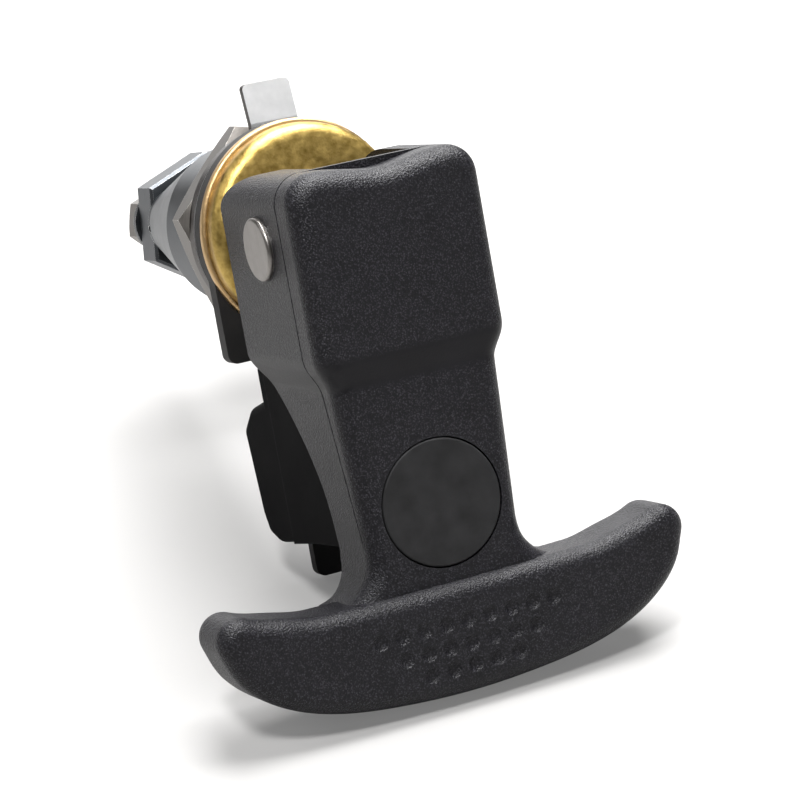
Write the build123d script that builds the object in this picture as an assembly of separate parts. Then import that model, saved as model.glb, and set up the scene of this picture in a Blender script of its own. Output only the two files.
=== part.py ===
from build123d import *
import math
import os

# Folding T-handle compression latch, in millimetres.
# +Z is up, -Y points to the person at the handle, +Y runs through the panel to the pawl.
# The origin is where the shaft's axis meets the panel's outer face, which the gasket lies on.
# The handle is folded down, as it lies when the latch is closed.

# Handle: grip block above, stem below it and the T-bar at the foot
block_width = 40.2
block_front = 50.3
block_top = 13.8
block_foot = 22.8
block_round = 4.0
block_corner = 6.0
top_dip = 1.6
seam_groove = 0.45
crease_height = 4.7
crease_round = 7.0
stem_front = 49.2
stem_top_width = 35.4
stem_foot_width = 31.8
stem_foot = 66.0
seam_top = 41.5
seam_foot = 46.0
bar_front = 51.8
bar_rear = 36.0
bar_width = 100.6
bar_drop = 21.5
bar_curve = ((0.298, 0.033), (0.557, 0.121), (0.736, 0.26), (0.867, 0.451), (0.958, 0.702))
bar_arm = ((0.716, 2.1), (0.557, 0.7))
foot_start = 58.0
foot_flare = (1.4, 3.6)
foot_ease = (3.5, 0.7)
foot_corner_x = 24.0
foot_sink = 0.5
foot_depth = 5.0
foot_rear_rise = 1.2
bar_tip_height = 69.4
bar_tip_round = 4.6
bar_dip = 0.5
bar_front_round = 3.4
bar_rear_round = 4.4
dimple_pitch = 4.7
dimple_rows = ((6.9, 9), (11.5, 7), (15.8, 5))
dimple_ball = 2.6
dimple_depth = 0.6

# Handle frame: the two ears, the skirt behind the stem and its webs
pin_distance = 30.6
ear_rear = 12.8
ear_gap = 21.0
ear_corner_depth = 13.2
ear_corner_height = 7.0
frame_back_start = 22.0
frame_back_curve = ((17.2, 27.8), (25.3, 37.0), (31.1, 47.5))
frame_back_foot = 33.0
frame_foot = 62.5
frame_wall = 2.6
slot_floor = 8.9
web_front = 37.0
web_thickness = 2.0
web_top = 28.5
cover_boss_radius = 5.2
cover_boss_depth = 9.0
case_boss_radius = 3.4
case_boss_start = 1.5

# Pivot of the handle on the shaft
pin_radius = 3.0
pin_head_radius = 6.3
pin_head_height = 1.1
spacer_radius = 7.0
spacer_thickness = 1.2

# Shaft, through everything
shaft_radius = 8.0
eye_radius = 8.5
shaft_round_end = 8.0
shaft_square = 9.0
shaft_shoulder = 76.0
stud_radius = 4.0
stud_end = 86.6
cross_hole_radius = 1.25
collar_hole_radius = 0.75

# Stack on the panel, from the cup in front to the nut behind
cup_flange_radius = 22.1
cup_dome_radius = 21.2
cup_face = 9.9
cup_shoulder = 3.0
cup_rim_round = 0.7
sheet = 1.5
gasket_thickness = 3.35
gasket_radius = 22.0
gasket_width = 41.6
gasket_foot = 24.4
gasket_corner = 2.0
panel_gap = 2.3
washer_thickness = 1.7
tab_washer_radius = 21.3
flat_washer_radius = 21.0
tab_width = 10.4
tab_offset = 0.5
tab_top = 30.0
tab_lean = 10.0
tab_bend = 22.0
tab_corner = 1.1
nut_across_flats = 39.6
nut_thickness = 6.8
nut_corner_angle = 45.8
barrel_radius = 15.0
barrel_end = 30.0
barrel_flange_radius = 18.5
barrel_flange_thickness = 3.05
barrel_hub_radius = 12.0
bush_wall = 2.0
bush_length = 10.7
seal_place = 5.2
seal_section = 1.0
seal_play = 0.2

# Behind the panel: turning bush, spring, tapered sleeve and pawl
bush_pocket_radius = 12.0
bush_pocket_start = 12.0
turning_bush_length = 12.0
clip_thickness = 1.2
clip_groove = 1.2
clip_play = 0.1
clip_inside = 2.0
clip_gap = 5.0
seat_clip_radius = 7.4
seat_clip_thickness = 1.0
sleeve_radius = 17.2
sleeve_small_radius = 8.6
sleeve_end = 65.0
sleeve_wall = 1.6
sleeve_gap = 0.4
sleeve_knee = 0.2
sleeve_knee_depth = 1.5
spring_seat_place = 50.0
spring_seat_radius = 8.8
spring_seat_thickness = 1.5
return_spring_radius = 7.9
return_spring_wire = 1.5
return_spring_turns = 7
collar_radius = 8.2
collar_front = 65.4
pawl_front = 67.3
pawl_reach = 48.0
pawl_half_width = 15.0
pawl_butt = 7.0
pawl_butt_half = 8.2
pawl_hip = 6.4
pawl_shoulder = 14.0
pawl_taper = 24.0
pawl_tip_round = 5.0
pawl_chamfer = 0.6
pawl_tip_half = 9.0
pawl_turn = 6.0
pawl_washer_radius = 8.0
pawl_washer_thickness = 1.3
lock_nut_across_flats = 13.0
lock_nut_thickness = 7.4
lock_nut_corner_angle = 17.0

# Lock case on the back of the stem, with the tongue and the push button that draws it
case_half_width = 16.0
case_wall = 2.4
case_top = 25.2
case_split = 8.0
case_front = 36.8
case_foot_drop = 0.7
case_floor_front = 3.4
case_floor_middle = (20.0, 2.3)
case_floor_rear = (1.2, 0.2)
neck_rear = -3.65
neck_foot = 32.8
neck_ease = (4.5, 35.0)
bulge_rear = 9.9
bulge_top = 39.6
bulge_foot = (7.7, 5.8)
bulge_corner = (5.8, 1.4)
case_side_round = 2.2
case_rear_round = 3.6
case_post_radius = 3.2
case_seat_depth = 6.0
case_screw_tip = 39.6
case_pilot_end = 40.0
back_post_radius = 2.8
back_post_length = 8.0
back_post_rise = 0.5
back_pilot_length = 7.0
back_screw_length = 6.6
tongue_room = 0.7
tongue_front = 2.4
tongue_thickness = 2.5
tongue_half_width = 8.2
tongue_shoulder_half = 10.2
tongue_corner = 2.0
tongue_shoulder = 3.4
window_play = 0.5
button_above_foot = 9.2
button_radius = 12.5
button_gap = 0.3
button_rise = 0.1
button_rim_round = 0.4
button_flange_radius = 13.2
button_flange_front = 45.7
button_flange_thickness = 1.5
button_travel = 3.5
tongue_travel = 5.6
plunger_radius = 4.0
plunger_end = 4.0
nose_start = 5.0
nose_tip = 1.7
button_spring_radius = 5.4
button_spring_wire = 1.2
button_spring_turns = 2.5
tongue_spring_radius = 1.05
tongue_spring_wire = 0.4
tongue_spring_turns = 7
tongue_spring_top = 39.2

# Screws
screw_radius = 1.5
screw_head_radius = 2.7
screw_head_height = 1.8
screw_drive_radius = 0.9
screw_drive_depth = 1.0
cover_screw_length = 5.6
cover_pilot_length = 6.0
cover_screw_inset = 7.5
cover_screw_height = 17.0
case_screw_x = 10.6
back_screw_x = 11.5
back_screw_height = 44.6
back_screw_seat = 7.2

# Clearances
running = 0.05
snug = 0.02
free = 0.3
far = 60.0

seal_groove = seal_section + seal_play
tab_washer_front = panel_gap
flat_washer_front = panel_gap + washer_thickness
nut_front = flat_washer_front + washer_thickness
nut_rear = nut_front + nut_thickness
pawl_rear = shaft_shoulder + free
stem_shoulder = block_foot + crease_height
room_rear = tongue_front + tongue_thickness + tongue_room
front_round = min(block_round, block_width / 10)
top_dip_half = block_width / 2 - block_corner - 0.1
case_foot = frame_foot + case_foot_drop
bar_foot = bar_tip_height + bar_drop
bar_top = bar_tip_height - bar_dip
cover_screw_x = block_width / 2 - cover_screw_inset
case_screw_heights = (33.0, frame_foot - 5.9)
button_height = frame_foot - button_above_foot
tongue_top = button_height - 4.8
tongue_floor = button_height + 5.2
tongue_tip = tongue_floor + 14.1
tongue_window_foot = button_height + 8.8
ramp_start = button_height + 1.3
nose_foot = button_height + 2.9


def rod_x(radius, x0, x1, y=0.0, z=0.0):
    """A round bar along X."""
    return Pos((x0 + x1) / 2, y, z) * Rot(0, 90, 0) * Cylinder(radius, x1 - x0)


def rod_y(radius, y0, y1, x=0.0, z=0.0):
    """A round bar along Y."""
    return Pos(x, (y0 + y1) / 2, z) * Rot(90, 0, 0) * Cylinder(radius, y1 - y0)


def ring_y(outer, inner, y0, y1):
    """A flat ring or a tube round the Y axis."""
    return rod_y(outer, y0, y1) - rod_y(inner, y0 - 1, y1 + 1)


def block(x0, x1, y0, y1, z0, z1):
    """A box between two corners."""
    return Pos((x0 + x1) / 2, (y0 + y1) / 2, (z0 + z1) / 2) * Box(x1 - x0, y1 - y0, z1 - z0)


def square_bar(side, y0, y1):
    """A square bar along Y."""
    return block(-side / 2, side / 2, y0, y1, -side / 2, side / 2)


def side_prism(outline, half_width):
    """A side view, drawn in Y and Z, made as wide as the two half widths."""
    return extrude(Plane.YZ * outline, amount=half_width, both=True)


def front_prism(outline, y0, y1):
    """A front view, drawn in X and Z, made from y0 back to y1."""
    return Pos(0, y1, 0) * extrude(Plane.XZ * outline, amount=y1 - y0)


def turned(points):
    """A closed outline of radius and Y, turned round the Y axis."""
    outline = make_face(Polyline(*[(r, y) for r, y in points], close=True))
    return revolve(outline, axis=Axis.Y)


def save(solid, name):
    """Writes one sub-part."""
    export_step(solid, "parts/" + name + ".step")


def coil(radius, wire, y0, y1, turns, x=0.0, z=0.0):
    """A coil spring along Y, as half turns that rise steadily and meet tangent."""
    halves = int(round(turns * 2))
    rise = (y1 - y0 - 1.1 * wire) / halves
    start = y0 + 0.55 * wire
    arcs = []
    for half in range(halves):
        side = 1 if half % 2 == 0 else -1
        here = (side * radius, start + half * rise, 0)
        middle = (0, start + (half + 0.5) * rise, side * radius)
        there = (-side * radius, start + (half + 1) * rise, 0)
        arcs.append(ThreePointArc(here, middle, there))
    path = Wire(arcs)
    section = Plane(origin=path @ 0, z_dir=path % 0) * Circle(wire / 2)
    return Pos(x, 0, z) * sweep(section, path=path)


def seam_depth(height):
    """How far in front of the panel the parting line lies, at a height below the axis."""
    if height <= block_foot:
        return seam_top
    share = (height - block_foot) / (stem_foot - block_foot)
    return seam_top + (seam_foot - seam_top) * share


def stem_half_width(height):
    """Half the stem's width, at a height below the axis."""
    share = (height - stem_shoulder) / (stem_foot - stem_shoulder)
    return (stem_top_width + (stem_foot_width - stem_top_width) * share) / 2


def bar_outline():
    """The front view of the T-bar, a crescent with round tips."""
    half = bar_width / 2
    tip = CenterArc((half - bar_tip_round, -bar_tip_height), bar_tip_round, -20, 135)
    lower = [(half * x, -bar_foot + (bar_foot - bar_tip_height) * rise) for x, rise in bar_curve]
    below = Spline([(0, -bar_foot)] + lower + [tip @ 0], tangents=[(1, 0), tip % 0])
    upper = [(half * x, rise - bar_tip_height) for x, rise in bar_arm]
    arm = Spline([tip @ 1] + upper, tangents=[tip % 1, (-1, -0.02)])
    middle = Spline([upper[-1], (0, -bar_top)], tangents=[(-1, -0.02), (-1, 0)])
    right = below + tip + arm + middle
    return make_face(right + mirror(right, about=Plane.YZ))


def bar_body():
    """The T-bar with its front and rear rims round."""
    bar = front_prism(bar_outline(), -bar_front, -bar_rear)
    for place, radius in ((-bar_front, bar_front_round), (-bar_rear, bar_rear_round)):
        rim = bar.edges().filter_by_position(Axis.Y, place - 0.01, place + 0.01)
        bar = fillet(rim, radius)
    return bar


def stem_foot_body():
    """The foot of the stem, which widens in a curve on each side and runs into the T-bar."""
    side = stem_half_width(foot_start) - 0.1
    inside = bar_top + foot_depth
    points = [
        (side, -foot_start),
        (side + foot_flare[0], -bar_top + foot_flare[1]),
        (foot_corner_x - foot_ease[0], -bar_top + foot_ease[1]),
        (foot_corner_x, -bar_top - foot_sink),
    ]
    corner = Spline(points, tangents=[(0, -1), (1, -0.2)])
    end = Polyline(points[-1], (foot_corner_x, -inside), (0, -inside))
    right = Line((0, -foot_start), (side, -foot_start)) + corner + end
    outline = make_face(right + mirror(right, about=Plane.YZ))
    foot = front_prism(outline, -stem_front, -bar_rear + 4)
    rim = foot.edges().filter_by_position(Axis.Y, -stem_front - 0.01, -stem_front + 0.01)
    rim = rim.filter_by(lambda edge: edge.bounding_box().size.Z > foot_depth + 0.2)
    rim = rim.filter_by(lambda edge: abs(edge.center().X) < foot_corner_x - 1)
    foot = fillet(rim, front_round)
    rear = Polyline(
        (-far, -foot_start + 8),
        (-frame_back_foot, -foot_start + 8),
        (-frame_back_foot, -frame_foot),
        (-bar_rear, -bar_top + foot_rear_rise),
        (-bar_rear - 2, -inside),
        (-far, -inside),
        close=True,
    )
    return foot & side_prism(make_face(rear), block_width)


def frame_space():
    """All the space behind the parting line and above the frame's foot."""
    side = Polyline(
        (-seam_top, 40),
        (-seam_top, -block_foot),
        (-seam_depth(frame_foot), -frame_foot),
        (20, -frame_foot),
        (20, 40),
        close=True,
    )
    return side_prism(make_face(side), bar_width)


def stem_outline(inset, top, foot):
    """The front view of the block and the stem, drawn in by an inset."""
    block_half = block_width / 2 - inset
    stem_half = stem_top_width / 2 - inset
    foot_half = stem_half_width(foot) - inset
    right = [(block_half, top), (block_half, -block_foot), (stem_half, -stem_shoulder), (foot_half, -foot)]
    left = [(-x, z) for x, z in reversed(right)]
    return make_face(Polyline(*(right + left), close=True))


def handle_front_view(foot, inset=0.0):
    """The front view of the handle above the T-bar, with its corners and the two creases round."""
    top = block_top - inset
    face = stem_outline(inset, top, foot)
    rounds = ((top, block_corner - inset), (-block_foot, crease_round), (-stem_shoulder, crease_round))
    for height, radius in rounds:
        corners = face.vertices().filter_by_position(Axis.Y, height - 0.01, height + 0.01)
        face = fillet(corners, radius)
    return face


def cover_front_view(inset):
    """The front view of the cover, drawn in by an inset. Its top dips a little in the middle."""
    top = block_top - inset
    ends = [(-top_dip_half, top), (0, top - top_dip), (top_dip_half, top)]
    dip = Spline(ends, tangents=[(1, 0), (1, 0)])
    above = Polyline(ends[2], (top_dip_half, top + 1), (-top_dip_half, top + 1), ends[0])
    return handle_front_view(stem_foot, inset) - make_face(dip + above)


def parting_groove():
    """The fine groove round the cover along the parting line."""
    band = Polyline(
        (-seam_top, 20),
        (-seam_top, -block_foot),
        (-seam_foot, -stem_foot),
        (-seam_foot - seam_groove, -stem_foot),
        (-seam_top - seam_groove, -block_foot),
        (-seam_top - seam_groove, 20),
        close=True,
    )
    groove = side_prism(make_face(band), block_width)
    return groove - front_prism(cover_front_view(seam_groove), -far, 0)


def cover_outline():
    """The side view of the cover, in front of the parting line."""
    points = [
        (-seam_top, block_top),
        (-block_front, block_top),
        (-block_front, -block_foot),
        (-stem_front, -stem_shoulder),
        (-stem_front, -stem_foot),
        (-seam_foot, -stem_foot),
        (-seam_top, -block_foot),
    ]
    face = make_face(Polyline(*points, close=True))
    for depth, height in ((block_front, block_foot), (stem_front, stem_shoulder)):
        bend = face.vertices().filter_by(lambda v: abs(v.X + depth) < 0.01 and abs(v.Y + height) < 0.01)
        face = fillet(bend, crease_round)
    return face


def grip_dimples():
    """The shallow dimples in the T-bar's face, in three rows."""
    centre = -bar_front - dimple_ball + dimple_depth
    tools = []
    for drop, count in dimple_rows:
        for place in range(count):
            x = (place - (count - 1) / 2) * dimple_pitch
            tools.append(Pos(x, centre, -bar_tip_height - drop) * Sphere(dimple_ball))
    return tools


def handle_cover():
    """The front shell of the handle with the T-bar, one moulding."""
    shell = side_prism(cover_outline(), block_width) & front_prism(cover_front_view(0), -far, 0)
    front = shell.edges().filter_by(lambda edge: edge.center().Y < -stem_front + 0.08)
    side = stem_foot_width / 2 - 2
    sides = front.filter_by(lambda edge: abs(edge.center().X) > side or edge.center().Z > 0)
    shell = fillet(sides, front_round)
    shell = shell - parting_groove()
    shell = shell + (stem_foot_body() - frame_space()) + (bar_body() - grip_dimples())
    shell = shell - rod_y(button_radius + button_gap, -block_front - 5, -bar_rear, 0, -button_height)
    pocket_rear = -button_flange_front + button_flange_thickness + button_travel + free
    pocket = rod_y(button_flange_radius + free, -button_flange_front, pocket_rear, 0, -button_height)
    shell = shell - pocket
    for x in (-cover_screw_x, cover_screw_x):
        pilot_end = -seam_top - cover_pilot_length
        shell = shell - rod_y(screw_radius + snug, pilot_end, -seam_top + 1, x, -cover_screw_height)
    return shell


def rear_edge():
    """The curve of the frame's back edge below the ears, in Y and Z."""
    middle = [(-depth, -height) for depth, height in frame_back_curve]
    points = [(-ear_rear, -frame_back_start)] + middle + [(-frame_back_foot, -frame_foot)]
    return Spline(points, tangents=[(-0.3, -1), (-0.05, -1)])


def frame_outline():
    """The side view of the frame."""
    corner = EllipticalCenterArc(
        (-ear_rear - ear_corner_depth, block_top - ear_corner_height),
        ear_corner_depth,
        ear_corner_height,
        start_angle=0,
        arc_size=90,
    )
    top = Line((-ear_rear - ear_corner_depth, block_top), (-seam_top, block_top))
    seam = Polyline(
        (-seam_top, block_top),
        (-seam_top, -block_foot),
        (-seam_depth(frame_foot), -frame_foot),
        (-frame_back_foot, -frame_foot),
    )
    back = Line((-ear_rear, block_top - ear_corner_height), (-ear_rear, -frame_back_start))
    return make_face(corner + top + seam + rear_edge() + back)


def handle_frame():
    """The rear shell: two ears for the pin, and the skirt that the lock case closes."""
    frame = side_prism(frame_outline(), block_width / 2)
    frame = frame & front_prism(handle_front_view(frame_foot), -block_front, 0)
    frame = frame + (stem_foot_body() & frame_space())
    slot_front = -pin_distance - eye_radius - 0.6
    slot = block(-ear_gap / 2, ear_gap / 2, slot_front, 1, -slot_floor, block_top + 1)
    inside = stem_outline(frame_wall, -slot_floor - frame_wall, frame_foot - frame_wall)
    cavity = front_prism(inside, -far, 1)
    web = block(-block_width, block_width, -web_front, -web_front + web_thickness, -frame_foot, -web_top)
    frame = frame - slot - (cavity - web)
    hollow = side_prism(frame_outline(), block_width / 2)
    hollow = hollow & front_prism(stem_outline(0.0, block_top, frame_foot), -block_front, 0)
    for x in (-cover_screw_x, cover_screw_x):
        boss = rod_y(cover_boss_radius, -seam_top, -seam_top + cover_boss_depth, x, -cover_screw_height)
        frame = frame + (boss & hollow)
    for height in case_screw_heights:
        for x in (-case_screw_x, case_screw_x):
            boss = rod_y(case_boss_radius, -seam_top + case_boss_start, 0, x, -height)
            frame = frame + (boss & hollow)
    pocket_rear = -button_flange_front + button_flange_thickness + button_travel + free
    frame = frame - rod_y(button_flange_radius + free, -stem_front, pocket_rear, 0, -button_height)
    frame = frame - rod_y(plunger_radius + running, -stem_front, 0, 0, -button_height)
    frame = frame - rod_x(pin_radius + snug, -block_width, block_width, -pin_distance)
    for x in (-cover_screw_x, cover_screw_x):
        frame = frame - rod_y(screw_radius + running, -stem_front, 0, x, -cover_screw_height)
    for height in case_screw_heights:
        for x in (-case_screw_x, case_screw_x):
            frame = frame - rod_y(screw_radius + snug, -case_pilot_end, 0, x, -height)
    return frame


def pivot_pin():
    """The stainless pin with a low domed head formed on each end."""
    ear = block_width / 2
    pin = rod_x(pin_radius, -ear, ear, -pin_distance)
    for side in (-1, 1):
        head = rod_x(pin_head_radius, 0, pin_head_height)
        rim = head.edges().filter_by_position(Axis.X, pin_head_height - 0.01, pin_head_height + 0.01)
        head = fillet(rim, pin_head_height * 0.6)
        if side < 0:
            head = mirror(head, about=Plane.YZ)
        pin = pin + Pos(side * ear, -pin_distance, 0) * head
    return pin


def ear_spacers():
    """Two thin rings that keep the shaft's eye in the middle of the slot."""
    rings = []
    inner_face = ear_gap / 2 - running
    for side in (-1, 1):
        low = min(side * inner_face, side * (inner_face - spacer_thickness))
        ring = rod_x(spacer_radius, low, low + spacer_thickness, -pin_distance)
        ring = ring - rod_x(pin_radius + running, -block_width, block_width, -pin_distance)
        rings.append(ring)
    return Compound(children=rings)


def screws(places):
    """Pan head screws along Y. Each place is x, height, the tip's y and the head's seat."""
    made = []
    for x, height, tip, seat in places:
        shank = rod_y(screw_radius, tip, seat, x, -height)
        end = seat + screw_head_height
        head = rod_y(screw_head_radius, seat, end, x, -height)
        rim = head.edges().filter_by_position(Axis.Y, end - 0.01, end + 0.01)
        head = fillet(rim, screw_head_height * 0.4)
        drive = rod_y(screw_drive_radius, end - screw_drive_depth, end + 1, x, -height)
        made.append(shank + head - drive)
    return Compound(children=made)


def cover_screws():
    """Two screws that hold the cover on the frame."""
    seat = -seam_top + cover_boss_depth
    tip = -seam_top - cover_screw_length
    return screws([(x, cover_screw_height, tip, seat) for x in (-cover_screw_x, cover_screw_x)])


def case_outline(inset):
    """The side view of the lock case behind the frame, drawn in by an inset."""
    top = -case_top - inset
    neck = neck_rear - inset
    points = [
        (-case_front, top),
        (neck, top),
        (neck, -neck_foot - inset),
        (neck_ease[0] - inset * 0.2, -neck_ease[1] - inset),
        (bulge_rear - inset * 1.2, -bulge_top - inset * 0.7),
        (bulge_foot[0] - inset, bulge_foot[1] - case_foot),
        (bulge_corner[0] - inset * 0.8, bulge_corner[1] - case_foot + inset * 0.6),
        (case_floor_rear[0], -case_foot - case_floor_rear[1] + inset),
        (-case_floor_middle[0], case_floor_middle[1] - case_foot + inset),
        (-case_front, case_floor_front - case_foot + inset),
    ]
    return make_face(Polyline(*points, close=True))


def behind_frame():
    """All the space behind the frame's back edge, for what butts against it."""
    edge = rear_edge()
    rest = Polyline(
        (-frame_back_foot, -frame_foot),
        (-frame_back_foot, -frame_foot - 20),
        (far, -frame_foot - 20),
        (far, -frame_back_start),
        (-ear_rear, -frame_back_start),
    )
    return side_prism(make_face(edge + rest), block_width)


def case_base():
    """The front half of the lock case, screwed to the frame."""
    solid = side_prism(case_outline(0.0), case_half_width) & behind_frame()
    solid = solid - side_prism(case_outline(case_wall), case_half_width - case_wall)
    solid = solid & block(-block_width, block_width, -far, -case_split, -2 * far, 0)
    shell = side_prism(case_outline(0.0), case_half_width) & behind_frame()
    for height in case_screw_heights:
        for x in (-case_screw_x, case_screw_x):
            post = rod_y(case_post_radius, -far, -case_split - case_seat_depth, x, -height)
            solid = solid + (post & shell)
    for x in (-back_screw_x, back_screw_x):
        post_start = -case_split - back_post_length
        solid = solid + rod_y(back_post_radius, post_start, -case_split, x, -back_screw_height)
    for height in case_screw_heights:
        for x in (-case_screw_x, case_screw_x):
            solid = solid - rod_y(screw_radius + running, -far, 0, x, -height)
    for x in (-back_screw_x, back_screw_x):
        pilot_end = -case_split - back_pilot_length
        solid = solid - rod_y(screw_radius + snug, pilot_end, 0, x, -back_screw_height)
    return solid


def case_screws():
    """Four screws that hold the case on the frame."""
    seat = -case_split - case_seat_depth
    places = []
    for height in case_screw_heights:
        for x in (-case_screw_x, case_screw_x):
            places.append((x, height, -case_screw_tip, seat))
    return screws(places)


def case_back():
    """The rear half of the case, with the bulge that the tongue slides in."""
    solid = side_prism(case_outline(0.0), case_half_width)
    solid = solid & block(-block_width, block_width, -case_split, far, -2 * far, 0)
    around = solid.edges().filter_by(lambda edge: edge.center().Y > -case_split + 0.1)
    around = around.filter_by(lambda edge: abs(edge.center().X) > case_half_width - 1)
    solid = fillet(around, case_side_round)
    corners = solid.edges().filter_by(Axis.X).filter_by(lambda edge: edge.center().Y > 0.5)
    solid = fillet(corners, case_rear_round)
    room = side_prism(case_outline(case_wall), case_half_width - case_wall)
    room = room & block(-far, far, -far, room_rear, -2 * far, 0)
    room = room - block(-far, far, -case_split + case_wall, far, -2 * far, -tongue_floor)
    solid = solid - room
    for x in (-back_screw_x, back_screw_x):
        post_end = room_rear + back_post_rise
        solid = solid + rod_y(back_post_radius, -case_split, post_end, x, -back_screw_height)
        solid = solid - rod_y(screw_radius + running, -far, far, x, -back_screw_height)
        solid = solid - rod_y(screw_head_radius + free, back_screw_seat, far, x, -back_screw_height)
    slot = block(
        -tongue_half_width - free,
        tongue_half_width + free,
        tongue_front - free,
        tongue_front + tongue_thickness + free,
        -case_foot - 5,
        -tongue_floor + 1,
    )
    return solid - slot


def back_screws():
    """Two screws that hold the rear half of the case."""
    tip = -case_split - back_screw_length
    return screws([(x, back_screw_height, tip, back_screw_seat) for x in (-back_screw_x, back_screw_x)])


def slope(y):
    """The height of the button nose's ramp at a place along Y, with the button at rest."""
    return -ramp_start - (tongue_travel / button_travel) * (y - nose_tip)


def push_button():
    """The round button, its plunger and the ramp that lifts the tongue."""
    face = -stem_front - button_rise
    disc = rod_y(button_radius, face, -button_flange_front, 0, -button_height)
    rim = disc.edges().filter_by_position(Axis.Y, face - 0.01, face + 0.01)
    disc = fillet(rim, button_rim_round)
    flange_rear = -button_flange_front + button_flange_thickness
    button = disc + rod_y(button_flange_radius, -button_flange_front, flange_rear, 0, -button_height)
    button = button + rod_y(plunger_radius, flange_rear, -plunger_end, 0, -button_height)
    top = -button_height + plunger_radius
    ramp_front = nose_tip - (top - slope(nose_tip)) * button_travel / tongue_travel
    nose = [
        (-nose_start, -nose_foot),
        (nose_tip, -nose_foot),
        (nose_tip, slope(nose_tip)),
        (ramp_front, top),
        (-nose_start, top),
    ]
    return button + side_prism(make_face(Polyline(*nose, close=True)), plunger_radius)


def tongue():
    """The sliding tongue that catches behind the panel, with the window for the ramp."""
    y0 = tongue_front
    y1 = tongue_front + tongue_thickness
    plate = block(-tongue_half_width, tongue_half_width, y0, y1, -tongue_tip, -tongue_top)
    tips = plate.edges().filter_by(Axis.Y)
    tips = tips.filter_by_position(Axis.Z, -tongue_tip - 0.01, -tongue_tip + 0.01)
    plate = fillet(tips, tongue_corner)
    floor = -tongue_floor + free
    half = tongue_shoulder_half
    plate = plate + block(-half, half, y0, y1, floor, floor + tongue_shoulder)
    window = [
        (y0 - 1, slope(y0 - 1) + window_play),
        (y1 + 1, slope(y1 + 1) + window_play),
        (y1 + 1, -tongue_window_foot),
        (y0 - 1, -tongue_window_foot),
    ]
    return plate - side_prism(make_face(Polyline(*window, close=True)), plunger_radius + window_play)


def tongue_spring():
    """The small spring that pushes the tongue out."""
    length = tongue_top - tongue_spring_top
    spring = coil(tongue_spring_radius, tongue_spring_wire, 0, length, tongue_spring_turns)
    return Pos(0, tongue_front + tongue_thickness / 2, -tongue_top) * Rot(90, 0, 0) * spring


def button_spring():
    """The spring between the button's flange and the frame's web."""
    y0 = -button_flange_front + button_flange_thickness
    turns = button_spring_turns
    return coil(button_spring_radius, button_spring_wire, y0, -web_front, turns, 0, -button_height)


def latch_shaft():
    """The shaft: an eye for the pin, a round guide, a square and a threaded end."""
    eye = ear_gap / 2 - running - spacer_thickness - running
    shaft = rod_x(eye_radius, -eye, eye, -pin_distance)
    shaft = shaft + rod_y(shaft_radius, -pin_distance, shaft_round_end)
    shaft = shaft + square_bar(shaft_square, shaft_round_end, shaft_shoulder)
    shaft = shaft + rod_y(stud_radius, shaft_shoulder, stud_end)
    shaft = shaft - rod_x(pin_radius + running, -block_width, block_width, -pin_distance)
    return shaft - rod_x(cross_hole_radius + snug, -far, far, (collar_front + pawl_front) / 2)


def domed_cup():
    """The yellow passivated steel cup that the ears bear on."""
    dome = cup_dome_radius
    face = -cup_face
    knee = -cup_face + cup_shoulder
    front = -gasket_thickness - sheet
    rear = -gasket_thickness
    outer = Polyline((cup_flange_radius, rear), (cup_flange_radius, front), (dome, front), (dome, knee))
    shoulder = RadiusArc((dome, knee), (dome - cup_shoulder, face), cup_shoulder)
    hole = shaft_radius + free
    face_line = Polyline((dome - cup_shoulder, face), (hole, face), (hole, face + sheet))
    inner_line = Line((hole, face + sheet), (dome - cup_shoulder, face + sheet))
    inner = RadiusArc((dome - cup_shoulder, face + sheet), (dome - sheet, knee), -(cup_shoulder - sheet))
    back = Polyline((dome - sheet, knee), (dome - sheet, rear), (cup_flange_radius, rear))
    cup = revolve(make_face(outer + shoulder + face_line + inner_line + inner + back), axis=Axis.Y)
    rim = cup.edges().filter_by(GeomType.CIRCLE).filter_by_position(Axis.Y, front - 0.01, front + 0.01)
    rim = rim.filter_by(lambda edge: edge.radius > cup_flange_radius - 0.1)
    return fillet(rim, cup_rim_round)


def guide_barrel():
    """The threaded barrel that goes through the panel and guides the shaft."""
    front = -cup_face + sheet
    barrel = rod_y(barrel_radius, -gasket_thickness, barrel_end)
    flange_front = -gasket_thickness - barrel_flange_thickness
    barrel = barrel + rod_y(barrel_flange_radius, flange_front, -gasket_thickness)
    barrel = barrel + rod_y(barrel_hub_radius, front, -gasket_thickness)
    barrel = barrel - rod_y(shaft_radius + running, front - 1, barrel_end + 1)
    barrel = barrel - rod_y(shaft_radius + bush_wall + snug, front - 1, front + bush_length)
    seal_outside = shaft_radius + 2 * seal_section + seal_play
    barrel = barrel - ring_y(seal_outside, 1, seal_place - seal_groove, seal_place + seal_groove)
    barrel = barrel - rod_y(bush_pocket_radius + snug, bush_pocket_start, barrel_end + 1)
    clip_front = bush_pocket_start + turning_bush_length + 2 * running
    clip_rear = clip_front + clip_thickness + 2 * clip_play
    return barrel - ring_y(bush_pocket_radius + clip_groove, 1, clip_front, clip_rear)


def front_bush():
    """The bronze bush in the front of the barrel."""
    front = -cup_face + sheet
    return ring_y(shaft_radius + bush_wall, shaft_radius + running, front, front + bush_length)


def shaft_seal():
    """The rubber ring that keeps water out along the shaft."""
    middle = shaft_radius + seal_section + seal_play / 2
    return Pos(0, seal_place, 0) * Rot(90, 0, 0) * Torus(middle, seal_section)


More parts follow.
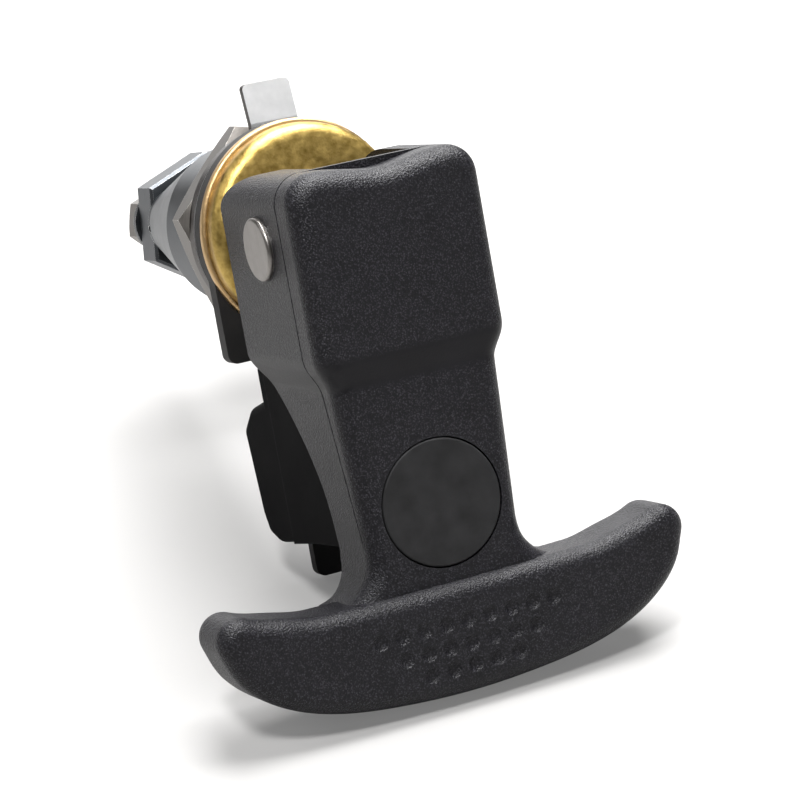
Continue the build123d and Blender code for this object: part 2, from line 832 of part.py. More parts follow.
def panel_gasket():
    """The rubber gasket: round above, straight sides and a flat foot."""
    half = gasket_width / 2
    plate = block(-half, half, -gasket_thickness, 0, -gasket_foot, 0)
    corners = plate.edges().filter_by(Axis.Y)
    corners = corners.filter_by_position(Axis.Z, -gasket_foot - 0.01, -gasket_foot + 0.01)
    plate = fillet(corners, gasket_corner) + rod_y(gasket_radius, -gasket_thickness, 0)
    return plate - rod_y(barrel_radius + running, -gasket_thickness - 1, 1)


def tab_washer():
    """The washer with an upright tab that is bent back a little."""
    y0 = tab_washer_front
    y1 = y0 + washer_thickness
    washer = rod_y(tab_washer_radius, y0, y1)
    left = tab_offset - tab_width / 2
    washer = washer + block(left, left + tab_width, y0, y1, 0, tab_bend)
    lean = (tab_top - tab_bend) * math.tan(math.radians(tab_lean))
    side = [(y0, tab_bend), (y0 + lean, tab_top), (y1 + lean, tab_top), (y1, tab_bend)]
    leaf = side_prism(make_face(Polyline(*side, close=True)), tab_width / 2)
    leaf = Pos(tab_offset, 0, 0) * leaf
    corners = leaf.edges().filter_by_position(Axis.Z, tab_top - 0.01, tab_top + 0.01).filter_by(Axis.Y)
    leaf = fillet(corners, tab_corner)
    return washer + leaf - rod_y(barrel_radius + running, y0 - 1, y1 + 1)


def flat_washer():
    """The plain washer under the nut."""
    return ring_y(flat_washer_radius, barrel_radius + running, flat_washer_front, nut_front)


def hex_nut(across_flats, thickness, front, hole, turn):
    """A chamfered hex nut round the Y axis."""
    corner = across_flats / math.sqrt(3)
    nut = front_prism(Rot(0, 0, turn) * RegularPolygon(corner, 6), front, front + thickness)
    drop = (corner - across_flats / 2) * math.tan(math.radians(30))
    rear = front + thickness
    chamfered = turned([
        (0, front),
        (across_flats / 2, front),
        (corner, front + drop),
        (corner, rear - drop),
        (across_flats / 2, rear),
        (0, rear),
    ])
    return (nut & chamfered) - rod_y(hole, front - 1, rear + 1)


def mounting_nut():
    """The large nut that clamps the barrel to the panel."""
    return hex_nut(nut_across_flats, nut_thickness, nut_front, barrel_radius + snug, nut_corner_angle)


def turning_bush():
    """The bush that the square of the shaft slides in, and that turns in the barrel."""
    y0 = bush_pocket_start + running
    y1 = y0 + turning_bush_length
    bush = rod_y(bush_pocket_radius - running, y0, y1)
    return bush - square_bar(shaft_square + 2 * running, y0 - 1, y1 + 1)


def bush_clip():
    """The ring that holds the turning bush in the barrel."""
    y0 = bush_pocket_start + turning_bush_length + 2 * running + clip_play
    outside = bush_pocket_radius + clip_groove - clip_play
    ring = ring_y(outside, bush_pocket_radius - clip_inside, y0, y0 + clip_thickness)
    return ring - block(-clip_gap / 2, clip_gap / 2, y0 - 1, y0 + clip_thickness + 1, 0, far)


def return_spring():
    """The spring that pushes the pawl away from the door frame when the handle is lifted."""
    y0 = bush_pocket_start + running + turning_bush_length
    return coil(return_spring_radius, return_spring_wire, y0, spring_seat_place, return_spring_turns)


def spring_seat():
    """The washer on the square that the return spring pushes on."""
    y1 = spring_seat_place + spring_seat_thickness
    seat = rod_y(spring_seat_radius, spring_seat_place, y1)
    return seat - square_bar(shaft_square + 2 * snug, 0, 2 * far)


def seat_clip():
    """The clip behind the spring seat."""
    y0 = spring_seat_place + spring_seat_thickness
    ring = rod_y(seat_clip_radius, y0, y0 + seat_clip_thickness)
    return ring - square_bar(shaft_square + 2 * snug, 0, 2 * far)


def tapered_sleeve():
    """The zinc plated sleeve behind the nut, which covers the spring."""
    start = nut_rear + sleeve_gap
    inner_small = sleeve_small_radius - sleeve_wall
    return turned([
        (barrel_radius + snug, start),
        (sleeve_radius, start),
        (sleeve_radius, barrel_end),
        (sleeve_small_radius, sleeve_end),
        (inner_small, sleeve_end),
        (barrel_radius - sleeve_knee_depth, barrel_end + sleeve_knee),
        (barrel_radius + snug, barrel_end + sleeve_knee),
    ])


def pawl_collar():
    """The collar in front of the pawl."""
    collar = rod_y(collar_radius, collar_front, pawl_front)
    collar = collar - square_bar(shaft_square + 2 * snug, 0, 2 * far)
    return collar - rod_x(collar_hole_radius, -far, far, (collar_front + pawl_front) / 2)


def pawl():
    """The steel pawl: a blunt end by the hub and an arm that reaches behind the frame."""
    points = [
        (-pawl_butt, pawl_butt_half),
        (pawl_hip, pawl_half_width),
        (pawl_shoulder, pawl_half_width),
        (pawl_taper, pawl_tip_half + 1.5),
        (pawl_reach, pawl_tip_half),
    ]
    lower = [(x, -z) for x, z in reversed(points)]
    plate = front_prism(make_face(Polyline(*(points + lower), close=True)), pawl_front, pawl_rear)
    tips = plate.edges().filter_by(Axis.Y)
    tips = tips.filter_by_position(Axis.X, pawl_reach - 0.01, pawl_reach + 0.01)
    plate = fillet(tips, pawl_tip_round)
    flats = plate.faces().filter_by(Axis.Y)
    plate = chamfer(flats.edges(), pawl_chamfer)
    plate = Rot(0, pawl_turn, 0) * plate
    return plate - square_bar(shaft_square + 2 * snug, 0, 2 * far)


def pawl_washer():
    """The washer under the lock nut."""
    return ring_y(pawl_washer_radius, stud_radius + snug, pawl_rear, pawl_rear + pawl_washer_thickness)


def pawl_lock_nut():
    """The nut that holds the pawl on the shaft."""
    front = pawl_rear + pawl_washer_thickness
    hole = stud_radius + snug
    return hex_nut(lock_nut_across_flats, lock_nut_thickness, front, hole, lock_nut_corner_angle)


os.makedirs("parts", exist_ok=True)

NODES = {
    "guide_barrel": guide_barrel,
    "front_bush": front_bush,
    "shaft_seal": shaft_seal,
    "domed_cup": domed_cup,
    "panel_gasket": panel_gasket,
    "tab_washer": tab_washer,
    "flat_washer": flat_washer,
    "mounting_nut": mounting_nut,
    "tapered_sleeve": tapered_sleeve,
    "bush_clip": bush_clip,
    "turning_bush": turning_bush,
    "latch_shaft": latch_shaft,
    "return_spring": return_spring,
    "spring_seat": spring_seat,
    "seat_clip": seat_clip,
    "pawl_collar": pawl_collar,
    "pawl": pawl,
    "pawl_washer": pawl_washer,
    "pawl_lock_nut": pawl_lock_nut,
    "handle_cover": handle_cover,
    "handle_frame": handle_frame,
    "pivot_pin": pivot_pin,
    "ear_spacers": ear_spacers,
    "cover_screws": cover_screws,
    "case_base": case_base,
    "case_back": case_back,
    "case_screws": case_screws,
    "back_screws": back_screws,
    "push_button": push_button,
    "button_spring": button_spring,
    "tongue": tongue,
    "tongue_spring": tongue_spring,
}

for name, make in NODES.items():
    save(make(), name)
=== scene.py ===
import bpy
from mathutils import Matrix, Vector


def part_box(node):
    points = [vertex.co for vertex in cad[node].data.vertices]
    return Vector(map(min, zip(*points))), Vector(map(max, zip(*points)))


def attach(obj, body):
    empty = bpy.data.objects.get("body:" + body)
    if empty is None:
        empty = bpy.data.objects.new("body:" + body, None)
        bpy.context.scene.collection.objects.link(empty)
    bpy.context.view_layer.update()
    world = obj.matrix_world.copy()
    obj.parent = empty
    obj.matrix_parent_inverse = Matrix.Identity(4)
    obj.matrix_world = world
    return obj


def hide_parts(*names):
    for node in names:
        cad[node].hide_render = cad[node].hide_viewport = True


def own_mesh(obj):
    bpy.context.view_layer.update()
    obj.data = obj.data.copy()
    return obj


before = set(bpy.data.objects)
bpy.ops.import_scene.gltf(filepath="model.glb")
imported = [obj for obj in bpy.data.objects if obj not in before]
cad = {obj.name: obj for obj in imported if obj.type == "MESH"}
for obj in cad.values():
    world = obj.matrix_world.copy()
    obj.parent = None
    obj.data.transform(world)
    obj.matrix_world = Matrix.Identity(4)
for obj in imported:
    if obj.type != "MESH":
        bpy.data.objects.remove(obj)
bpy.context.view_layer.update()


# Camera
# A long lens from the left front, a little above the handle. The latch lies on its T-bar and tongue,
# so the photograph's upright is tilted against the part's own.
right = Vector((0.8961, -0.4075, -0.1756))
down = Vector((-0.2207, -0.066, -0.9731))
camera_place = Vector((-0.2306, -0.5832, 0.0554))
ahead = right.cross(down).normalized()
up = right.cross(ahead).normalized()
camera_data = bpy.data.cameras.new("camera")
camera_data.sensor_width = 36
camera_data.lens = 138.45
camera_data.clip_start = 0.01
camera_data.clip_end = 10
camera = bpy.data.objects.new("camera", camera_data)
bpy.context.scene.collection.objects.link(camera)
turn = Matrix((right, up, -ahead)).transposed().to_4x4()
camera.matrix_world = Matrix.Translation(camera_place) @ turn
bpy.context.scene.camera = camera


# Floor
# A sheet of paper that the latch lies on, touching the foot of the T-bar and the tip of the tongue.
# The lamps bring its grey up to white round the latch and leave the shadows. It glows a little for
# the camera alone, and from below it is clear.
floor_up = Vector((0, -0.350, 0.937)).normalized()
floor_point = Vector((0, -0.044, -0.0915))
floor_reach = 0.75
paper_grey = (0.32, 0.316, 0.312, 1)
paper_glow = 0.16
white = (1, 1, 1, 1)


def link(tree, source, target):
    """Joins two sockets."""
    tree.links.new(source, target)


def put(tree, kind, **values):
    """Adds a node and sets its inputs by name."""
    node = tree.nodes.new(kind)
    for name, value in values.items():
        node.inputs[name.replace("_", " ")].default_value = value
    return node


def sums(tree, operation, first, second=None):
    """A Math node on sockets or numbers, and its result."""
    node = tree.nodes.new("ShaderNodeMath")
    node.operation = operation
    for place, value in enumerate((first, second)):
        if value is None:
            continue
        if isinstance(value, (int, float)):
            node.inputs[place].default_value = value
        else:
            link(tree, value, node.inputs[place])
    return node.outputs[0]


floor_mesh = bpy.data.meshes.new("floor")
across = Vector((1, 0, 0))
along = floor_up.cross(across)
corners = []
for side, end in ((-1, -1), (1, -1), (1, 1), (-1, 1)):
    corners.append(tuple(floor_point + floor_reach * (side * across + end * along)))
floor_mesh.from_pydata(corners, [], [(0, 1, 2, 3)])
floor = bpy.data.objects.new("floor", floor_mesh)
bpy.context.scene.collection.objects.link(floor)

paper = bpy.data.materials.new("white_paper")
paper.use_nodes = True
tree = paper.node_tree
tree.nodes.clear()
matt = put(tree, "ShaderNodeBsdfDiffuse", Color=paper_grey)
glow = put(tree, "ShaderNodeEmission", Color=white)
rays = tree.nodes.new("ShaderNodeLightPath")
link(tree, sums(tree, "MULTIPLY", rays.outputs["Is Camera Ray"], paper_glow), glow.inputs["Strength"])
lit = tree.nodes.new("ShaderNodeAddShader")
link(tree, matt.outputs[0], lit.inputs[0])
link(tree, glow.outputs[0], lit.inputs[1])
clear = put(tree, "ShaderNodeBsdfTransparent")
facing = tree.nodes.new("ShaderNodeNewGeometry")
either = tree.nodes.new("ShaderNodeMixShader")
link(tree, facing.outputs["Backfacing"], either.inputs[0])
link(tree, lit.outputs[0], either.inputs[1])
link(tree, clear.outputs[0], either.inputs[2])
ending = tree.nodes.new("ShaderNodeOutputMaterial")
link(tree, either.outputs[0], ending.inputs["Surface"])
floor.data.materials.append(paper)


# Light
# A large soft box over the latch, a small one to its upper left that picks out the grain, a wide one
# behind it, one on its left and one low at the right front, in a dim room that the camera sees white.
latch_middle = Vector((0, -0.02, -0.04))
room_grey = (0.122, 0.12, 0.118, 1)


def soft_box(name, place, size, watts):
    """A square soft light that shines at the middle of the latch and that the camera can't see."""
    data = bpy.data.lights.new(name, "AREA")
    data.shape = "SQUARE"
    data.size = size
    data.energy = watts
    light = bpy.data.objects.new(name, data)
    bpy.context.scene.collection.objects.link(light)
    light.location = place
    aim = latch_middle - Vector(place)
    light.rotation_euler = aim.to_track_quat("-Z", "Y").to_euler()
    light.visible_camera = False


soft_box("overhead", (0.17, -0.06, 0.62), size=0.50, watts=18.0)
soft_box("upper_left", (-0.28, -0.46, 0.49), size=0.12, watts=5.0)
soft_box("back", (0.22, 0.80, 0.40), size=0.70, watts=3.6)
soft_box("left", (-0.60, 0.10, 0.48), size=0.45, watts=1.2)
soft_box("front", (0.34, -0.85, -0.02), size=0.70, watts=1.35)

world = bpy.data.worlds.new("room")
bpy.context.scene.world = world
world.use_nodes = True
tree = world.node_tree
tree.nodes.clear()
rays = tree.nodes.new("ShaderNodeLightPath")
room = put(tree, "ShaderNodeBackground", Color=room_grey, Strength=1)
backdrop = put(tree, "ShaderNodeBackground", Color=white, Strength=1)
either = tree.nodes.new("ShaderNodeMixShader")
link(tree, rays.outputs["Is Camera Ray"], either.inputs[0])
link(tree, room.outputs[0], either.inputs[1])
link(tree, backdrop.outputs[0], either.inputs[2])
ending = tree.nodes.new("ShaderNodeOutputWorld")
link(tree, either.outputs[0], ending.inputs["Surface"])


# Shaft and turning bush
# A stainless shaft with an eye, a round guide and a square end, turned and milled. Its square slides
# in a bronze bush that turns in the barrel, and a spring round the square pushes the shaft back.
def group_tree(name, sizes, results):
    """An empty shader group with its named inputs and outputs."""
    tree = bpy.data.node_groups.new(name, "ShaderNodeTree")
    for title, value in sizes:
        socket = tree.interface.new_socket(title, in_out="INPUT", socket_type="NodeSocketFloat")
        socket.default_value = value
    for title in results:
        tree.interface.new_socket(title, in_out="OUTPUT", socket_type="NodeSocketFloat")
    return tree, tree.nodes.new("NodeGroupInput"), tree.nodes.new("NodeGroupOutput")


def held(tree, value):
    """A value kept between 0 and 1."""
    return sums(tree, "MINIMUM", sums(tree, "MAXIMUM", value, 0.0), 1.0)


def stretched(tree, value):
    """A noise value with twice its contrast, kept between 0 and 1."""
    wide = sums(tree, "MULTIPLY", sums(tree, "SUBTRACT", value, 0.5), 2.0)
    return held(tree, sums(tree, "ADD", wide, 0.5))


def edge_group():
    """Rounded edges: a mask that is 1 where the surface turns within the radius, broken up by noise. It
    makes edges lighter, and on the lock case this is a painted highlight.
    """
    patch_scale = 900
    patch_start = 0.3
    patch_gain = 18.0
    tree, given, result = group_tree("rounded_edges", [("Radius", 0.0004), ("Amount", 1.0)], ["Mask"])
    rounded = tree.nodes.new("ShaderNodeBevel")
    rounded.samples = 4
    link(tree, given.outputs["Radius"], rounded.inputs["Radius"])
    flat = tree.nodes.new("ShaderNodeNewGeometry")
    turned = tree.nodes.new("ShaderNodeVectorMath")
    turned.operation = "DOT_PRODUCT"
    link(tree, rounded.outputs[0], turned.inputs[0])
    link(tree, flat.outputs["Normal"], turned.inputs[1])
    bend = sums(tree, "SUBTRACT", 1.0, turned.outputs["Value"])
    place = tree.nodes.new("ShaderNodeTexCoord")
    patchy = put(tree, "ShaderNodeTexNoise", Scale=patch_scale, Detail=3)
    link(tree, place.outputs["Object"], patchy.inputs["Vector"])
    patches = sums(tree, "MULTIPLY", sums(tree, "SUBTRACT", patchy.outputs[0], patch_start), patch_gain)
    edge_tint = sums(tree, "MULTIPLY", sums(tree, "MULTIPLY", bend, patches), given.outputs["Amount"])
    link(tree, held(tree, edge_tint), result.inputs["Mask"])
    return tree


def grain_group():
    """Cast or powder grain: a height, a mask of its tops and a slow cloudiness."""
    fine_scale = 0.9
    cell_scale = 0.8
    fine_share = 0.8
    cell_share = 0.5
    tops_start = 0.66
    tops_gain = 4.0
    sizes = [("Size", 0.0004), ("Clouds", 0.008)]
    tree, given, result = group_tree("grain", sizes, ["Height", "Tops", "Cloud"])
    place = tree.nodes.new("ShaderNodeTexCoord")
    fine = put(tree, "ShaderNodeTexNoise", Detail=2, Roughness=0.6)
    link(tree, place.outputs["Object"], fine.inputs["Vector"])
    link(tree, sums(tree, "DIVIDE", fine_scale, given.outputs["Size"]), fine.inputs["Scale"])
    cells = put(tree, "ShaderNodeTexVoronoi", Randomness=1)
    link(tree, place.outputs["Object"], cells.inputs["Vector"])
    link(tree, sums(tree, "DIVIDE", cell_scale, given.outputs["Size"]), cells.inputs["Scale"])
    slow = put(tree, "ShaderNodeTexNoise", Detail=3, Roughness=0.55)
    link(tree, place.outputs["Object"], slow.inputs["Vector"])
    link(tree, sums(tree, "DIVIDE", 1.0, given.outputs["Clouds"]), slow.inputs["Scale"])
    lumps = sums(tree, "MULTIPLY", sums(tree, "SUBTRACT", 1.0, cells.outputs["Distance"]), cell_share)
    height = sums(tree, "ADD", sums(tree, "MULTIPLY", fine.outputs[0], fine_share), lumps)
    link(tree, height, result.inputs["Height"])
    tops = sums(tree, "MULTIPLY", sums(tree, "SUBTRACT", height, tops_start), tops_gain)
    link(tree, held(tree, tops), result.inputs["Tops"])
    link(tree, stretched(tree, slow.outputs[0]), result.inputs["Cloud"])
    return tree


def turning_group():
    """Fine lines of turning round the object's Y axis."""
    tree, given, result = group_tree("turning_lines", [("Along", 60.0), ("Across", 5000.0)], ["Lines"])
    place = tree.nodes.new("ShaderNodeTexCoord")
    stretch = tree.nodes.new("ShaderNodeCombineXYZ")
    link(tree, given.outputs["Across"], stretch.inputs["Y"])
    link(tree, given.outputs["Along"], stretch.inputs["X"])
    link(tree, given.outputs["Along"], stretch.inputs["Z"])
    scaled = tree.nodes.new("ShaderNodeVectorMath")
    scaled.operation = "MULTIPLY"
    link(tree, place.outputs["Object"], scaled.inputs[0])
    link(tree, stretch.outputs[0], scaled.inputs[1])
    lines = put(tree, "ShaderNodeTexNoise", Scale=1, Detail=2)
    link(tree, scaled.outputs[0], lines.inputs["Vector"])
    link(tree, stretched(tree, lines.outputs[0]), result.inputs["Lines"])
    return tree


rounded_edges = edge_group()
grain = grain_group()
turning_lines = turning_group()


def place_group(tree, group, **values):
    """Puts one of the shared effects into a material."""
    node = tree.nodes.new("ShaderNodeGroup")
    node.node_tree = group
    for name, value in values.items():
        node.inputs[name].default_value = value
    return node


def between(tree, factor, low, high):
    """A number that runs from low to high with a mask."""
    node = put(tree, "ShaderNodeMapRange", To_Min=low, To_Max=high)
    link(tree, factor, node.inputs["Value"])
    return node.outputs["Result"]


def ramp(tree, value, start, end):
    """A mask that runs from 0 to 1 as a value goes from start to end."""
    node = put(tree, "ShaderNodeMapRange", From_Min=start, From_Max=end)
    link(tree, value, node.inputs["Value"])
    return node.outputs["Result"]


def blend_colours(tree, factor, first, second):
    """A mix of two colours, each a socket or four numbers."""
    node = tree.nodes.new("ShaderNodeMix")
    node.data_type = "RGBA"
    link(tree, factor, node.inputs["Factor"])
    for name, value in (("A", first), ("B", second)):
        socket = [item for item in node.inputs if item.name == name and item.type == "RGBA"][0]
        if isinstance(value, tuple):
            socket.default_value = value
        else:
            link(tree, value, socket)
    return [item for item in node.outputs if item.type == "RGBA"][0]


def bumped(tree, height, distance):
    """A normal from a height in metres."""
    node = put(tree, "ShaderNodeBump", Strength=1, Distance=distance)
    link(tree, height, node.inputs["Height"])
    return node.outputs["Normal"]


def shader_of(name, metallic, specular=0.5):
    """A new material with its Principled shader."""
    material = bpy.data.materials.new(name)
    material.use_nodes = True
    shader = material.node_tree.nodes["Principled BSDF"]
    shader.inputs["Metallic"].default_value = metallic
    shader.inputs["Specular IOR Level"].default_value = specular
    return material, material.node_tree, shader


def metal(name, dark, light, glossy, dull, size=0.0005, depth=0.000012, edge_tint=(0.9, 0.9, 0.9, 1), wear=0.4):
    """A plated or bare metal: clouded colour and gloss, turning lines, grain and brighter edges."""
    line_share = 0.4
    line_height = 0.3
    material, tree, shader = shader_of(name, 1.0)
    surface = place_group(tree, grain, Size=size, Clouds=0.006)
    marks = place_group(tree, turning_lines)
    edges = place_group(tree, rounded_edges, Radius=0.0003, Amount=wear)
    lines = sums(tree, "MULTIPLY", marks.outputs["Lines"], line_share)
    mottle = sums(tree, "DIVIDE", sums(tree, "ADD", surface.outputs["Cloud"], lines), 1 + line_share)
    base = blend_colours(tree, mottle, dark, light)
    link(tree, blend_colours(tree, edges.outputs["Mask"], base, edge_tint), shader.inputs["Base Color"])
    link(tree, between(tree, mottle, glossy, dull), shader.inputs["Roughness"])
    ridges = sums(tree, "MULTIPLY", marks.outputs["Lines"], line_height)
    height = sums(tree, "ADD", surface.outputs["Height"], ridges)
    link(tree, bumped(tree, height, depth), shader.inputs["Normal"])
    return material


def dress(material, *names):
    """Gives CAD nodes a material."""
    for name in names:
        cad[name].data.materials.clear()
        cad[name].data.materials.append(material)


stainless = metal(
    "stainless",
    dark=(0.13, 0.12, 0.112, 1),
    light=(0.28, 0.265, 0.25, 1),
    glossy=0.30,
    dull=0.42,
)
bronze = metal(
    "bush_bronze",
    dark=(0.42, 0.22, 0.08, 1),
    light=(0.55, 0.32, 0.13, 1),
    glossy=0.30,
    dull=0.45,
)
spring_wire = metal(
    "spring_wire",
    dark=(0.30, 0.30, 0.31, 1),
    light=(0.45, 0.45, 0.46, 1),
    glossy=0.25,
    dull=0.40,
)
dress(stainless, "latch_shaft")
dress(bronze, "turning_bush", "front_bush")
dress(spring_wire, "return_spring", "bush_clip", "seat_clip")


# Guide barrel and tapered sleeve
# The barrel is turned steel with bright zinc plating and screws through the panel. A thin plated
# sleeve is pushed on behind the nut and tapers down to the pawl, over the return spring.
bright_zinc = metal(
    "bright_zinc",
    dark=(0.044, 0.048, 0.053, 1),
    light=(0.115, 0.122, 0.13, 1),
    glossy=0.34,
    dull=0.48,
    size=0.0008,
    depth=0.000008,
)
dress(bright_zinc, "guide_barrel", "tapered_sleeve", "spring_seat", "pawl_collar", "pawl", "pawl_washer")


# Mounting nut and washers
# A large chamfered hexagon nut of plain steel clamps the panel over a plain washer and a washer with
# an upright tab. Both are stamped from matt zinc plated sheet, and their sheared rims carry a painted
# shade: a dark brown colour with a little more gloss.
plain_steel = metal(
    "plain_steel",
    dark=(0.085, 0.079, 0.073, 1),
    light=(0.20, 0.187, 0.173, 1),
    glossy=0.30,
    dull=0.48,
    edge_tint=(0.6, 0.58, 0.55, 1),
    wear=0.8,
)
dress(plain_steel, "mounting_nut", "pawl_lock_nut")

sheet_dark = (0.60, 0.605, 0.61, 1)
sheet_light = (0.79, 0.79, 0.795, 1)
# Dark brown for the washers' rims: a painted shade, not the colour of the zinc.
painted_rim_shade = (0.05, 0.044, 0.04, 1)
face_tilt = 0.75
edge_tilt = 0.45
material, tree, shader = shader_of("matt_zinc", 1.0)
surface = place_group(tree, grain, Size=0.0004, Clouds=0.006)
place = tree.nodes.new("ShaderNodeTexCoord")
facing = tree.nodes.new("ShaderNodeSeparateXYZ")
link(tree, place.outputs["Normal"], facing.inputs[0])
flatness = sums(tree, "ABSOLUTE", facing.outputs["Y"])
# Faces that turn away from facing along the shaft, the rims, get the painted shade.
shaded_rim = ramp(tree, flatness, face_tilt, edge_tilt)
plated = blend_colours(tree, surface.outputs["Cloud"], sheet_dark, sheet_light)
link(tree, blend_colours(tree, shaded_rim, plated, painted_rim_shade), shader.inputs["Base Color"])
link(tree, between(tree, shaded_rim, 0.46, 0.38), shader.inputs["Roughness"])
link(tree, bumped(tree, surface.outputs["Height"], 0.00002), shader.inputs["Normal"])
dress(material, "tab_washer", "flat_washer")


# Domed cup
# Pressed steel sheet with yellow passivated zinc, a rolled lip at its rim and a rounded shoulder.
# The ears of the handle bear on its face as the handle folds.
gold_dark = (0.25, 0.165, 0.038, 1)
gold_light = (0.60, 0.43, 0.14, 1)
lip_tone = (0.50, 0.34, 0.17, 1)
lip_start = 0.0211
lip_full = 0.0214
material, tree, shader = shader_of("yellow_passivated", 1.0)
surface = place_group(tree, grain, Size=0.0004, Clouds=0.002)
place = tree.nodes.new("ShaderNodeTexCoord")
flat = tree.nodes.new("ShaderNodeVectorMath")
flat.operation = "MULTIPLY"
flat.inputs[1].default_value = (1, 0, 1)
link(tree, place.outputs["Object"], flat.inputs[0])
radius = tree.nodes.new("ShaderNodeVectorMath")
radius.operation = "LENGTH"
link(tree, flat.outputs[0], radius.inputs[0])
gold = blend_colours(tree, surface.outputs["Cloud"], gold_dark, gold_light)
lip = ramp(tree, radius.outputs["Value"], lip_start, lip_full)
link(tree, blend_colours(tree, lip, gold, lip_tone), shader.inputs["Base Color"])
link(tree, between(tree, surface.outputs["Cloud"], 0.34, 0.50), shader.inputs["Roughness"])
link(tree, bumped(tree, surface.outputs["Height"], 0.00004), shader.inputs["Normal"])
dress(material, "domed_cup")


# Gasket and shaft seal
# Moulded black rubber. The gasket lies between the barrel's flange and the panel, and the ring seals
# the shaft in the barrel.
def moulding(name, dark, light, glossy, dull, specular, size, clouds, depth, edge_tint=None):
    """A black moulded skin: clouded colour and gloss over a fine grain, and if given, edges painted
    lighter as a painted highlight.
    """
    material, tree, shader = shader_of(name, 0.0, specular)
    surface = place_group(tree, grain, Size=size, Clouds=clouds)
    colour = blend_colours(tree, surface.outputs["Cloud"], dark, light)
    if edge_tint:
        edges = place_group(tree, rounded_edges, Radius=0.0006, Amount=0.4)
        colour = blend_colours(tree, edges.outputs["Mask"], colour, edge_tint)
    link(tree, colour, shader.inputs["Base Color"])
    link(tree, between(tree, surface.outputs["Cloud"], glossy, dull), shader.inputs["Roughness"])
    link(tree, bumped(tree, surface.outputs["Height"], depth), shader.inputs["Normal"])
    return material


rubber = moulding(
    "black_rubber",
    dark=(0.006, 0.006, 0.006, 1),
    light=(0.013, 0.012, 0.012, 1),
    glossy=0.55,
    dull=0.7,
    specular=0.35,
    size=0.0005,
    clouds=0.01,
    depth=0.00002,
)
dress(rubber, "panel_gasket", "shaft_seal")


# Handle cover and frame
# Die-cast zinc with a black textured powder coat: the front cover with the T-bar and the rear frame
# with its two ears, joined along a fine parting line. The tops of the grain are painted paler as
# painted glints. The coat lies smoother in the crease, with smaller bumps and no painted glints.
coat_dark = (0.0024, 0.0022, 0.0034, 1)
coat_light = (0.0046, 0.0043, 0.0062, 1)
# A paler colour for the tops of the grain: painted glints.
painted_glint_tone = (0.036, 0.035, 0.042, 1)
worn_coat = (0.02, 0.02, 0.022, 1)
crease_middle = -0.0252
crease_half = 0.0032
crease_fade = 0.0007
crease_grain = 0.25
material, tree, shader = shader_of("black_powder_coat", 0.0, 0.25)
surface = place_group(tree, grain, Size=0.0003, Clouds=0.01)
edges = place_group(tree, rounded_edges, Radius=0.0006, Amount=0.5)
place = tree.nodes.new("ShaderNodeTexCoord")
upright = tree.nodes.new("ShaderNodeSeparateXYZ")
link(tree, place.outputs["Object"], upright.inputs[0])
from_crease = sums(tree, "ABSOLUTE", sums(tree, "SUBTRACT", upright.outputs["Z"], crease_middle))
grainy = ramp(tree, from_crease, crease_half - crease_fade, crease_half + crease_fade)
# Where the painted glints go: the grain's tops, left out in the crease.
tops = sums(tree, "MULTIPLY", surface.outputs["Tops"], grainy)
bumps = sums(tree, "MULTIPLY", surface.outputs["Height"], between(tree, grainy, crease_grain, 1.0))
base = blend_colours(tree, surface.outputs["Cloud"], coat_dark, coat_light)
glint_speckled = blend_colours(tree, tops, base, painted_glint_tone)
link(tree, blend_colours(tree, edges.outputs["Mask"], glint_speckled, worn_coat), shader.inputs["Base Color"])
link(tree, between(tree, tops, 0.40, 0.30), shader.inputs["Roughness"])
link(tree, bumped(tree, bumps, 0.0002), shader.inputs["Normal"])
dress(material, "handle_cover", "handle_frame")


# Pivot pin and screws
# A stainless pin through both ears with a low head formed on each end, thin bronze rings beside the
# shaft's eye, and small pan head screws that hold the cover and the case.
dress(stainless, "pivot_pin", "cover_screws", "case_screws", "back_screws")
dress(bronze, "ear_spacers")


# Lock case
# Two black moulded halves behind the stem with softly rounded corners. They hold the sliding tongue
# and its spring, and a shallow grain makes them look smoother than the handle. Their rounded edges
# are painted lighter as a painted highlight.
case_black = moulding(
    "case_black",
    dark=(0.0016, 0.0016, 0.0019, 1),
    light=(0.0032, 0.0032, 0.0036, 1),
    glossy=0.5,
    dull=0.6,
    specular=0.015,
    size=0.0003,
    clouds=0.01,
    depth=0.00003,
    # Lighter rounded edges: a painted highlight, not wear.
    edge_tint=(0.024, 0.024, 0.026, 1),
)
dress(case_black, "case_base", "case_back")


# Tongue and push button
# The tongue is a blackened steel plate that the button's ramp lifts. The round button is a smooth
# matt black moulding with a faint mottle, and a spring lies under its flange.
smooth_black = moulding(
    "smooth_black",
    dark=(0.012, 0.012, 0.0125, 1),
    light=(0.021, 0.021, 0.022, 1),
    glossy=0.55,
    dull=0.66,
    specular=0.16,
    size=0.00018,
    clouds=0.004,
    depth=0.000012,
)
dress(smooth_black, "push_button", "tongue")


# Springs of the button and the tongue
# Coils of drawn steel wire. The wide one stands between the button's flange and the frame's web, the
# narrow one between the tongue and the case. In the real latch each is pushed together as its part
# comes back; here each is a rigid coil that rides on its part.
button_turns = 2.5
button_wire = 0.0012
tongue_turns = 7.0
tongue_wire = 0.0004
backward = Vector((0, 1, 0))
upward = Vector((0, 0, 1))


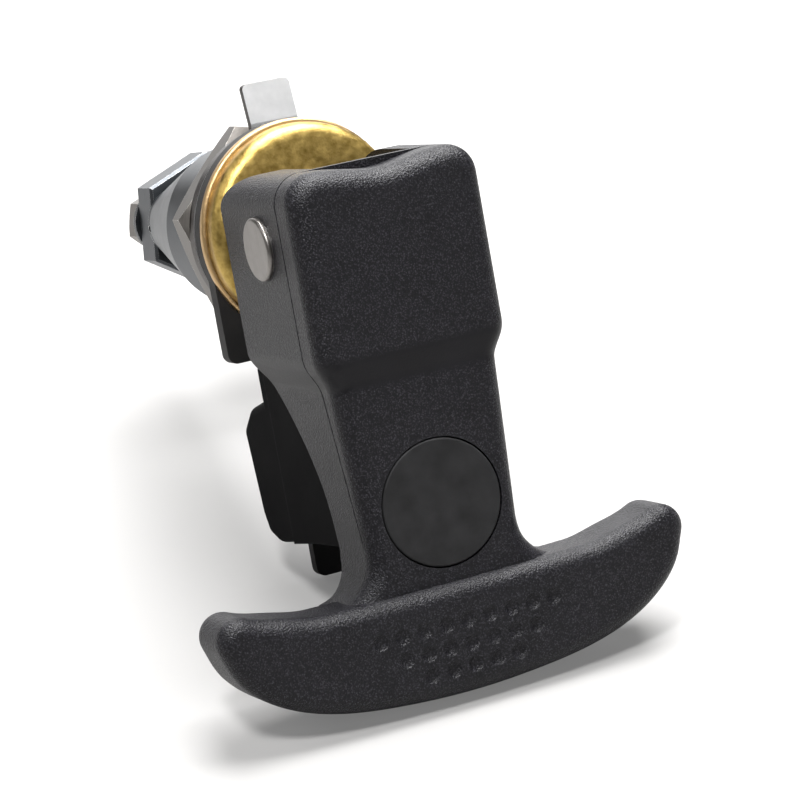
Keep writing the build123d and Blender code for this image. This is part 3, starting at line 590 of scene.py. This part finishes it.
def coil_tree():
    """Nodes that wind a round wire into a coil standing along Z."""
    tree = bpy.data.node_groups.new("wound_wire", "GeometryNodeTree")
    for title in ("Turns", "Radius", "Rise", "Wire"):
        tree.interface.new_socket(title, in_out="INPUT", socket_type="NodeSocketFloat")
    tree.interface.new_socket("Finish", in_out="INPUT", socket_type="NodeSocketMaterial")
    tree.interface.new_socket("Coil", in_out="OUTPUT", socket_type="NodeSocketGeometry")
    given = tree.nodes.new("NodeGroupInput")
    line = put(tree, "GeometryNodeCurveSpiral", Resolution=32)
    link(tree, given.outputs["Turns"], line.inputs["Rotations"])
    link(tree, given.outputs["Radius"], line.inputs["Start Radius"])
    link(tree, given.outputs["Radius"], line.inputs["End Radius"])
    link(tree, given.outputs["Rise"], line.inputs["Height"])
    section = put(tree, "GeometryNodeCurvePrimitiveCircle", Resolution=12)
    link(tree, sums(tree, "MULTIPLY", given.outputs["Wire"], 0.5), section.inputs["Radius"])
    wire = put(tree, "GeometryNodeCurveToMesh", Fill_Caps=True)
    link(tree, line.outputs["Curve"], wire.inputs["Curve"])
    link(tree, section.outputs["Curve"], wire.inputs["Profile Curve"])
    joined = tree.nodes.new("GeometryNodeRealizeInstances")
    link(tree, wire.outputs["Mesh"], joined.inputs["Geometry"])
    finished = tree.nodes.new("GeometryNodeSetMaterial")
    link(tree, joined.outputs["Geometry"], finished.inputs["Geometry"])
    link(tree, given.outputs["Finish"], finished.inputs["Material"])
    ending = tree.nodes.new("NodeGroupOutput")
    link(tree, finished.outputs["Geometry"], ending.inputs["Coil"])
    return tree


wound_wire = coil_tree()


def wound_spring(name, node, body, way, turns, wire):
    """A coil in its CAD node's place, wound along the way that it pushes and carried by its body."""
    low, high = (Vector(corner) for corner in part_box(node))
    length = (high - low).dot(way)
    width = (high - low).x
    foot = (low + high - length * way) / 2
    spring = bpy.data.objects.new(name, bpy.data.meshes.new(name))
    bpy.context.scene.collection.objects.link(spring)
    winding = spring.modifiers.new("winding", "NODES")
    winding.node_group = wound_wire
    sockets = [item for item in wound_wire.interface.items_tree if item.in_out == "INPUT"]
    inputs = {socket.name: socket.identifier for socket in sockets}
    winding[inputs["Turns"]] = turns
    winding[inputs["Radius"]] = (width - wire) / 2
    winding[inputs["Rise"]] = length - wire
    winding[inputs["Wire"]] = wire
    winding[inputs["Finish"]] = spring_wire
    made = spring.evaluated_get(bpy.context.evaluated_depsgraph_get())
    coil = bpy.data.meshes.new_from_object(made)
    spring.modifiers.clear()
    spring.data = coil
    turned = way.to_track_quat("Z", "Y").to_matrix().to_4x4()
    coil.transform(Matrix.Translation(foot + way * wire / 2) @ turned)
    coil.shade_smooth()
    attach(spring, body)
    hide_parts(node)
    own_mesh(spring)


wound_spring(
    "button_coil",
    node="button_spring",
    body="button",
    way=backward,
    turns=button_turns,
    wire=button_wire,
)
wound_spring(
    "tongue_coil",
    node="tongue_spring",
    body="catch",
    way=upward,
    turns=tongue_turns,
    wire=tongue_wire,
)


bpy.context.scene.view_settings.view_transform = "Standard"
